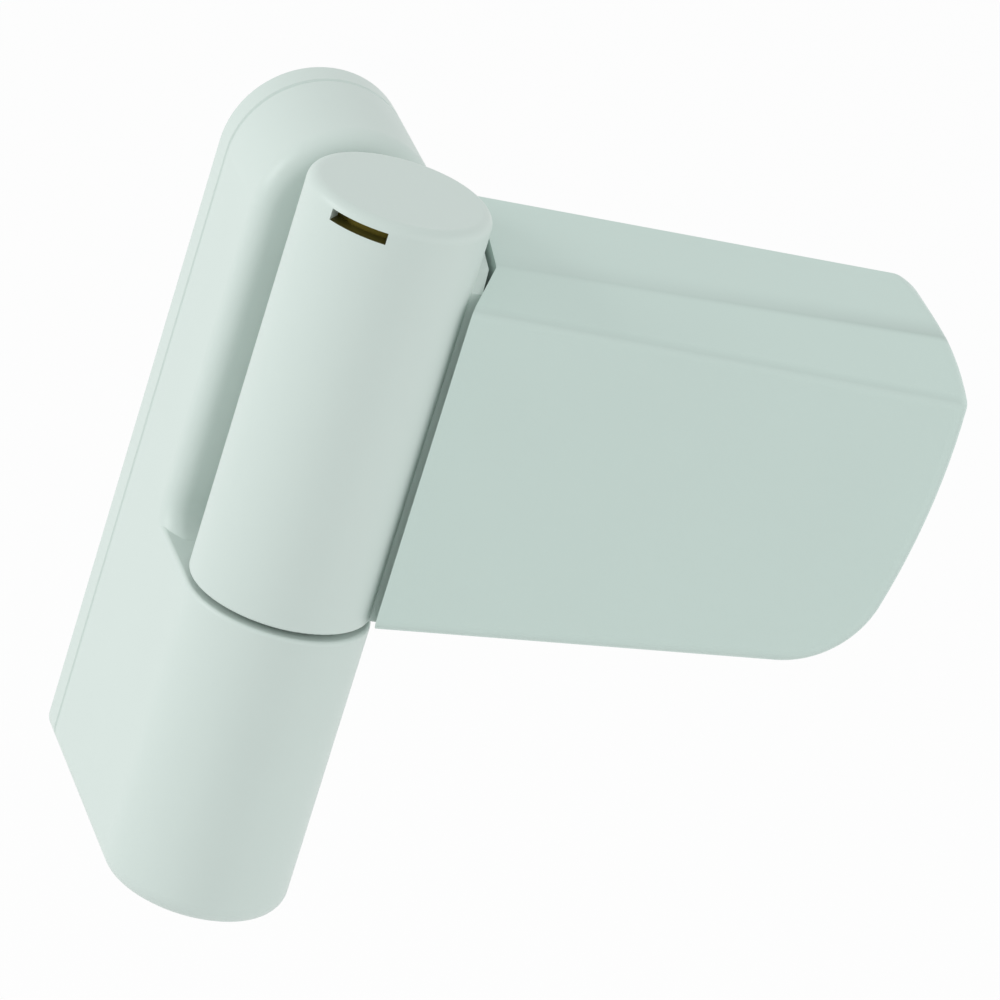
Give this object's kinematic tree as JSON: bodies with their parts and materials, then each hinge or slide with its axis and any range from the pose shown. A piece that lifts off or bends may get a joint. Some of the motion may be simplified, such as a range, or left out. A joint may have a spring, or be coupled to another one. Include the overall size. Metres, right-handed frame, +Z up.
{
  "type": "flag hinge",
  "caption": "White flag hinge: an arched frame leaf with a lower knuckle and pin, and a barrel whose arm carries a tapered flag under a clip-on cover.",
  "frame": {"origin": "middle of the packer's back face, the face that is screwed to the door frame", "axes": "+X towards the flag's free end, +Y back into the door frame, +Z up along the hinge pin"},
  "size_m": [0.0841, 0.0452, 0.0912],
  "materials": {
    "coated_metal": "semi-gloss white powder coat",
    "coated_packer": "moulded white plastic plate",
    "coated_cover": "semi-gloss white powder coat",
    "cap_plastic": "moulded white plastic",
    "steel": "zinc-plated steel",
    "zinc_base": "thin white coat on die-cast zinc",
    "bush_plastic": "self-lubricating plastic",
    "brass": "turned brass"
  },
  "bodies": {
    "frame_leaf": {"frame_body": "coated_metal", "frame_packer": "coated_packer", "hinge_pin": "steel", "height_screw": "steel", "pin_lock_screw": "steel", "bottom_cap": "cap_plastic", "thrust_washer": "bush_plastic"},
    "flag_leaf": {"barrel_arm": "coated_metal", "lower_bush": "bush_plastic", "upper_bush": "bush_plastic", "thrust_disc": "steel", "adjuster_collar": "brass", "barrel_cap": "cap_plastic", "flag_base": "zinc_base", "flag_cover": "coated_cover", "lateral_screw": "steel", "clamp_screws": "steel", "clamp_washers": "steel"}
  },
  "joints": [
    {"name": "flag_swing", "type": "hinge", "parent": "frame_leaf", "child": "flag_leaf", "pos_m": [0, -0.0339, 0], "axis": [0, 0, -1], "range_deg": [0, 180]}
  ]
}
